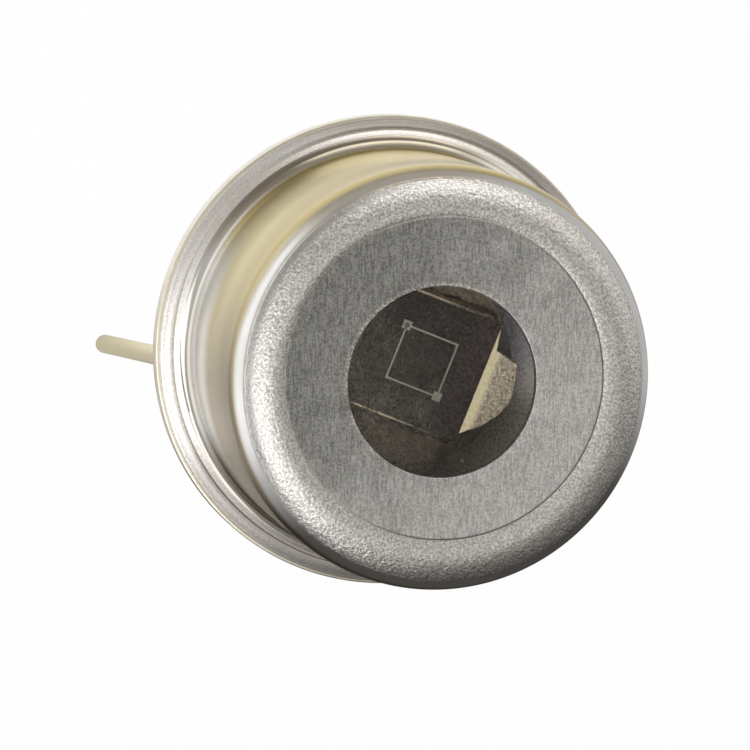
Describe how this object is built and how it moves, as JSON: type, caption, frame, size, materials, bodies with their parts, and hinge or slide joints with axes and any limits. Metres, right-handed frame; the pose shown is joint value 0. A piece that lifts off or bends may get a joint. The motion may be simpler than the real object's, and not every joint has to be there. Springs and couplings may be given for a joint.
{
  "type": "ultraviolet photodiode",
  "caption": "Ultraviolet photodiode in a round metal can with a flat glass window over a square chip, and two wire leads under a flanged header.",
  "frame": {"origin": "centre of the seating plane, the underside of the header's rim", "axes": "+Z along the optical axis, out of the window; +X from the splayed anode lead to the case lead, and the index tab lies between +X and -Y"},
  "size_m": [0.0092, 0.0092, 0.0194],
  "materials": {
    "gold_plate": "satin gold plate over an iron-nickel alloy",
    "nickel_can": "matt tumbled nickel",
    "weld_metal": "dull resistance weld",
    "window_glass": "polished clear, passes ultraviolet",
    "seal_glass": "fused glass, glossy",
    "chip_semiconductor": "polished, near black",
    "contact_metal": "fine satin",
    "solder": "bright solder, gold rich",
    "braze_metal": "satin"
  },
  "bodies": {
    "root": {"header": "gold_plate", "cap": "nickel_can", "weld_ring": "weld_metal", "window": "window_glass", "window_seal": "seal_glass", "anode_lead": "gold_plate", "anode_bead": "seal_glass", "cathode_lead": "gold_plate", "cathode_braze": "braze_metal", "pedestal": "gold_plate", "pedestal_braze": "braze_metal", "chip": "chip_semiconductor", "die_attach": "solder", "contact_ring": "contact_metal", "bond_wire": "contact_metal"}
  },
  "joints": []
}
